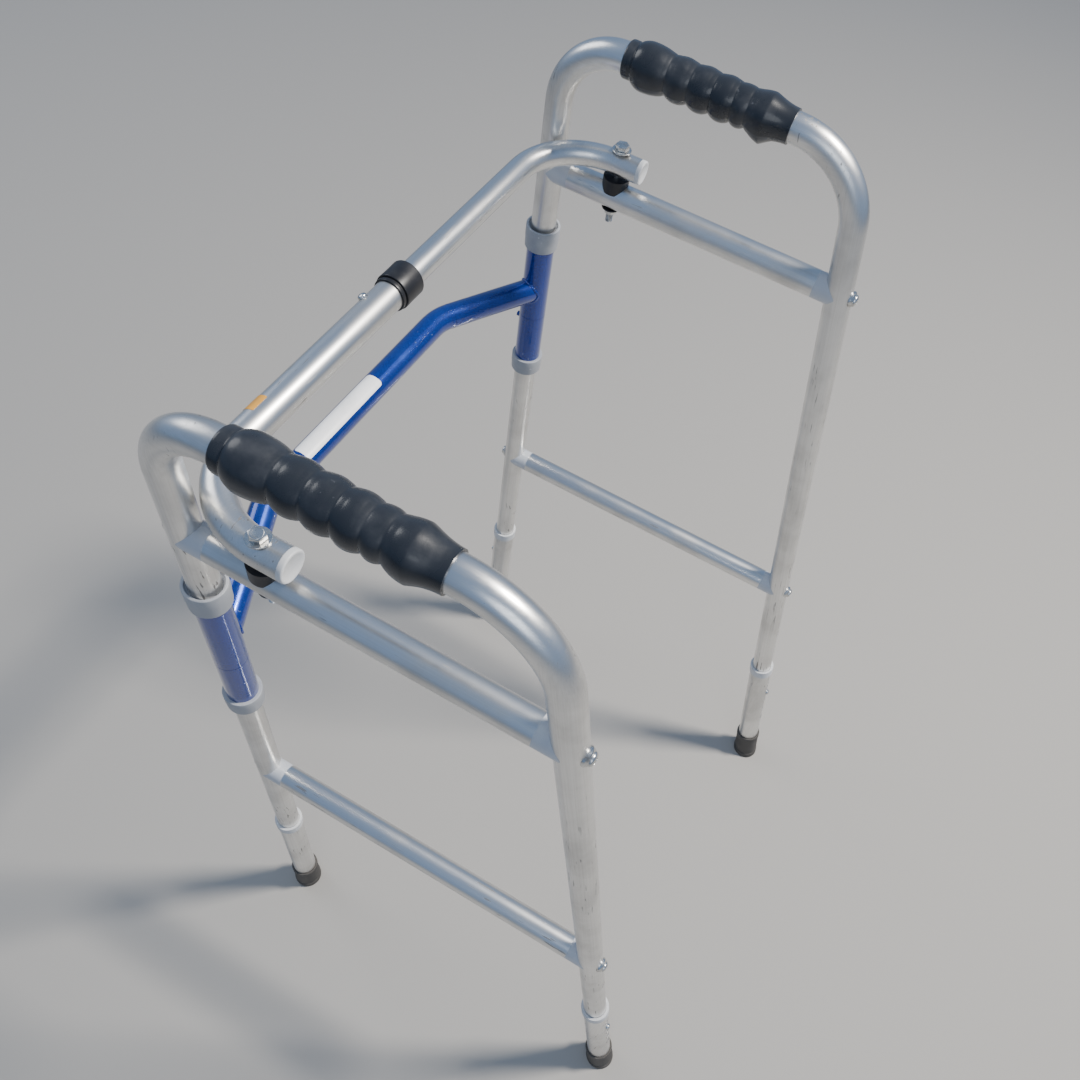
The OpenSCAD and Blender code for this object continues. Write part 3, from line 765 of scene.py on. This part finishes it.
for side in sides:
    low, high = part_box(f"{side}_pivot_bolt")
    centre = middle(f"{side}_pivot_bolt")
    headLow = high.z - pivotBolt["head"] * mm
    bolt = bmesh.new()
    headPlace = Matrix.Translation((centre.x, centre.y, headLow))
    joinInto(bolt, hexBlock(pivotBolt["head"]), headPlace @ Matrix.Rotation(0.35, 4, "Z"))
    dishLine = [(0, 0.05), (3.6, 0.05), (3.9, 0.18), (4.2, 0.18), (4.35, 0)]
    dish = spun([(r * mm, h * mm) for r, h in dishLine], 48, closed=False)
    joinInto(bolt, dish, Matrix.Translation((centre.x, centre.y, high.z - 0.06 * mm)))
    rodLine = threadProfile((headLow - low.z) / mm - 0.4)
    rod = spun([(r * mm, h * mm) for r, h in rodLine], 40, closed=False)
    joinInto(bolt, rod, headPlace)
    finishPiece(f"{side}_hex_bolt", bolt, "zincSteel", f"{side}_frame",
                [f"{side}_pivot_bolt"], sharp=25)
    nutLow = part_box(f"{side}_pivot_nut")[0]
    nut = hexBlock(pivotBolt["nut"] - 1.2)
    bmesh.ops.translate(nut, vec=(centre.x, centre.y, nutLow.z + 1.2 * mm), verts=nut.verts)
    crownLine = [(3.05, 1.3), (4.5, 1.3), (4.5, 0.7), (4.1, 0.1), (3.05, 0.1)]
    crown = spun([(r * mm, h * mm) for r, h in crownLine], 48)
    joinInto(nut, crown, Matrix.Translation((centre.x, centre.y, nutLow.z)))
    finishPiece(f"{side}_lock_nut", nut, "zincSteel", f"{side}_frame",
                [f"{side}_pivot_nut"], sharp=25)
    washerLow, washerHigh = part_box(f"{side}_pivot_washers")
    topWasher, lowWasher = washerDisc(pivotBolt["washer"]), washerDisc(pivotBolt["washer"])
    topZ = washerHigh.z - pivotBolt["washer"] * mm
    bmesh.ops.translate(topWasher, vec=(centre.x, centre.y, topZ), verts=topWasher.verts)
    bmesh.ops.translate(lowWasher, vec=(centre.x, centre.y, washerLow.z), verts=lowWasher.verts)
    finishPiece(f"{side}_top_washer", topWasher, "zincSteel", f"{side}_frame",
                [f"{side}_pivot_washers"])
    finishPiece(f"{side}_lower_washer", lowWasher, "blackPlastic", f"{side}_frame")
print("pivot bolts made")


# ---------- cross tube fittings ----------

telescopeCollar = {
    "radius": 13.5, "step": 4.0, "stepRadius": 12.5, "groove": 0.5, "round": 1.3, "innerRadius": 9.93}


def makeTelescopeCollar():  # a smooth sleeve, a groove and a slimmer ring at its step
    low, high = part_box("telescope_collar")
    length = (high.x - low.x) / mm
    inner, narrow = tubeRadius / mm + 0.05, telescopeCollar["innerRadius"]
    radius, corner, slim = (telescopeCollar[k] for k in ("radius", "round", "stepRadius"))
    sleeveEnd = length - telescopeCollar["step"]
    profile = [(narrow, 0.4), (narrow + 0.4, 0), *arcPoints((radius - corner, corner), corner, -90, 0, 6)]
    grooveRadius = slim - telescopeCollar["groove"]
    profile += [(radius - 0.12, sleeveEnd * 0.5), *arcPoints((radius - 0.7, sleeveEnd - 0.7), 0.7, 0, 90, 4)]
    profile += [(grooveRadius, sleeveEnd), (grooveRadius, sleeveEnd + 0.7)]
    profile += [(slim - 0.1, sleeveEnd + 1.0), (slim, sleeveEnd + 1.4)]
    profile += arcPoints((slim - 0.6, length - 0.6), 0.6, 0, 90, 4)
    profile += [(inner, length), (inner, 4.1), (narrow, 4.1)]
    mesh = spun([(r * mm, h * mm) for r, h in profile], 80)
    centre = middle("telescope_collar")
    place = Matrix.Translation((low.x, centre.y, centre.z)) @ Matrix.Rotation(math.pi / 2, 4, "Y")
    bmesh.ops.transform(mesh, matrix=place, verts=mesh.verts)
    return finishPiece("stepped_telescope_collar", mesh, "blackPlastic", "outer_half",
                       ["telescope_collar"])


def makeEndCap(name, body):
    low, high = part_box(name)
    centre = middle(name)
    radius = (high.x - low.x) / 2 / mm
    disc = 4.0
    profile = [(0, -10), (radius - 1.4, -10), (radius - 1.3, 0), (radius - 0.1, 0), (radius, 0.3)]
    profile += arcPoints((radius - 1.1, disc - 1.1), 1.1, 0, 90, 5)
    profile += [(radius - 2.2, disc), (radius - 2.6, disc - 0.25), (0, disc - 0.25)]
    mesh = spun([(r * mm, h * mm) for r, h in profile], 64, closed=False)
    place = Matrix.Translation((centre.x, high.y - disc * mm, centre.z))
    place = place @ Matrix.Rotation(-math.pi / 2, 4, "X")
    bmesh.ops.transform(mesh, matrix=place, verts=mesh.verts)
    return finishPiece(f"{name}_disc", mesh, "capPlastic", body, [name])


makeTelescopeCollar()
makeEndCap("outer_end_cap", "outer_half")
makeEndCap("inner_end_cap", "inner_half")
print("cross tube fittings made")


# ---------- labels ----------

labels = {
    "brace_label": {
        "centreX": 0.028, "length": 100, "arc": 84, "lean": 6, "corner": 3,
        "finish": "whiteLabel", "body": "front_brace", "slot": "nylon"},
    "tube_sticker": {
        "centreX": 0.148, "length": 14, "arc": 58, "lean": -34, "corner": 1,
        "finish": "goldLabel", "body": "outer_half", "slot": "grey_plastic"},
}


def wrappedLabel(name, axisPoint, radius):  # a thin rounded patch wrapped on a tube that runs along X
    label = labels[name]
    width = math.radians(label["arc"]) * radius
    length = label["length"] * mm
    mesh = bmesh.new()
    bmesh.ops.create_grid(mesh, x_segments=1, y_segments=1, size=0.5)
    bmesh.ops.scale(mesh, vec=(length, width, 1), verts=mesh.verts)
    bmesh.ops.bevel(
        mesh, geom=mesh.verts[:], offset=label["corner"] * mm, affect="VERTICES",
        segments=6, profile=0.5, material=-1)
    for i in range(1, 20):
        across = -width / 2 + width * i / 20
        bmesh.ops.bisect_plane(
            mesh, geom=mesh.verts[:] + mesh.edges[:] + mesh.faces[:],
            plane_co=(0, across, 0), plane_no=(0, 1, 0))
    bmesh.ops.solidify(mesh, geom=mesh.faces[:], thickness=0.12 * mm)
    lift = min(v.co.z for v in mesh.verts)
    for vert in mesh.verts:
        angle = vert.co.y / radius + math.radians(label["lean"])
        reach = radius + 0.03 * mm + (vert.co.z - lift)
        vert.co = Vector((
            axisPoint.x + vert.co.x,
            axisPoint.y + reach * math.sin(angle),
            axisPoint.z + reach * math.cos(angle)))
    bmesh.ops.recalc_face_normals(mesh, faces=mesh.faces)
    return finishPiece(name, mesh, label["finish"], label["body"])


braceLow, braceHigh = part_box("brace_tube")
bar = Vector((0, braceLow.y + tubeRadius, braceHigh.z - tubeRadius))  # the middle of the brace
wrappedLabel("brace_label", Vector((labels["brace_label"]["centreX"], bar.y, bar.z)), tubeRadius)
crossAxis = middle("telescope_collar")
stickerPoint = Vector((labels["tube_sticker"]["centreX"], crossAxis.y, crossAxis.z))
wrappedLabel("tube_sticker", stickerPoint, tubeRadius)
print("labels placed")


# ---------- weld fillets where the brace meets its sleeves ----------

weld = {"radius": 1.3, "ripples": 44, "ripple": 0.12, "steps": 176, "corner": 121, "rise": 16}


def makeWeld(side, sign):
    sleeveRadius = (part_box(f"{side}_sleeve")[1].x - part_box(f"{side}_sleeve")[0].x) / 2
    axis = middle(f"{side}_sleeve")
    start = Vector((sign * weld["corner"] * mm, bar.y, bar.z))
    finish = Vector((axis.x, axis.y, bar.z - weld["rise"] * mm))
    along = (finish - start).normalized()
    across = along.cross(Vector((0, 0, 1))).normalized()
    over = across.cross(along)
    path = []
    for i in range(weld["steps"]):
        angle = math.tau * i / weld["steps"]
        point = finish + tubeRadius * (math.cos(angle) * across + math.sin(angle) * over)
        flat = Vector((point.x - axis.x, point.y - axis.y))  # slide back along the brace to the sleeve
        step = Vector((along.x, along.y))
        b = flat.dot(step)
        root = b * b - step.length_squared * (flat.length_squared - sleeveRadius ** 2)
        path.append(point + along * ((-b - math.sqrt(max(0, root))) / step.length_squared))
    curve = bpy.data.curves.new(f"{side}_weld_path", "CURVE")
    curve.dimensions = "3D"
    curve.bevel_depth = weld["radius"] * mm
    curve.bevel_resolution = 4
    spline = curve.splines.new("POLY")
    spline.points.add(len(path) - 1)
    for i, point in enumerate(path):
        spline.points[i].co = (*point, 1)
        phase = math.tau * i * weld["ripples"] / weld["steps"]
        spline.points[i].radius = 1 + weld["ripple"] * math.sin(phase)
    spline.use_cyclic_u = True
    holder = bpy.data.objects.new(f"{side}_weld_curve", curve)
    bpy.context.scene.collection.objects.link(holder)
    bpy.context.view_layer.update()
    mesh = bmesh.new()
    mesh.from_mesh(holder.evaluated_get(bpy.context.evaluated_depsgraph_get()).to_mesh())
    bpy.data.objects.remove(holder)
    bmesh.ops.remove_doubles(mesh, verts=mesh.verts, dist=1e-6)
    bmesh.ops.recalc_face_normals(mesh, faces=mesh.faces)
    return finishPiece(f"{side}_brace_weld", mesh, "bluePaint", "front_brace")


for side, sign in sides.items():
    makeWeld(side, sign)
print("welds made")


# ---------- floor, light and camera ----------

stage = {
    "floorColour": (0.36, 0.345, 0.32),
    "floorRough": 0.75,
    "world": (0.38, 0.57, 0.92),
    "worldStrength": 0.5,
}

bpy.ops.mesh.primitive_plane_add(size=14, location=(0, 0, 0))
floor = bpy.context.object
floor.name = "studio_floor"
floorMaterial, _, floorShader, _ = startMaterial("floorPaper", Roughness=stage["floorRough"])
floorShader.inputs["Base Color"].default_value = (*stage["floorColour"], 1)
floor.data.materials.append(floorMaterial)

world = bpy.data.worlds.new("studio")
bpy.context.scene.world = world
world.use_nodes = True
world.node_tree.nodes["Background"].inputs[0].default_value = (*stage["world"], 1)
world.node_tree.nodes["Background"].inputs[1].default_value = stage["worldStrength"]

lights = {
    "key": {"place": (-0.9, 1.3, 3.0), "size": 0.5, "power": 170, "colour": (1.0, 0.95, 0.88)},
    "fill": {"place": (2.6, 1.6, 2.4), "size": 2.0, "power": 22, "colour": (0.92, 0.96, 1.0)},
    "rim": {"place": (-0.2, -2.6, 2.4), "size": 1.6, "power": 24, "colour": (1.0, 1.0, 1.0)},
}
aim = (cadBox[0] + cadBox[1]) / 2
for name, setting in lights.items():
    lamp = bpy.data.lights.new(name, "AREA")
    lamp.shape = "DISK"
    lamp.size = setting["size"]
    lamp.energy = setting["power"]
    lamp.color = setting["colour"]
    holder = bpy.data.objects.new(name, lamp)
    holder.location = setting["place"]
    holder.rotation_euler = (aim - Vector(setting["place"])).to_track_quat("-Z", "Y").to_euler()
    bpy.context.scene.collection.objects.link(holder)

camera = {
    "place": (0.4418, 0.1168, 1.2115),
    "azimuth": 108.49,
    "elevation": 57.48,
    "roll": 12.3,
    "lens": 31.486,
    "shift": (-0.0089, 0.0562),
}


def cameraMatrix():
    azimuth, elevation, roll = (math.radians(camera[k]) for k in ("azimuth", "elevation", "roll"))
    back = Vector((
        math.sin(azimuth) * math.cos(elevation),
        -math.cos(azimuth) * math.cos(elevation),
        math.sin(elevation)))
    right = Vector((math.cos(azimuth), math.sin(azimuth), 0))
    up = back.cross(right)
    turnedRight = math.cos(roll) * right + math.sin(roll) * up
    turnedUp = back.cross(turnedRight)
    turn = Matrix((turnedRight, turnedUp, back)).transposed().to_4x4()
    return Matrix.Translation(camera["place"]) @ turn


cameraData = bpy.data.cameras.new("camera")
cameraData.sensor_width = 36
cameraData.lens = camera["lens"]
cameraData.shift_x, cameraData.shift_y = camera["shift"]
cameraData.clip_start = 0.01
cameraObject = bpy.data.objects.new("camera", cameraData)
cameraObject.matrix_world = cameraMatrix()
bpy.context.scene.collection.objects.link(cameraObject)
bpy.context.scene.camera = cameraObject
print("stage set")
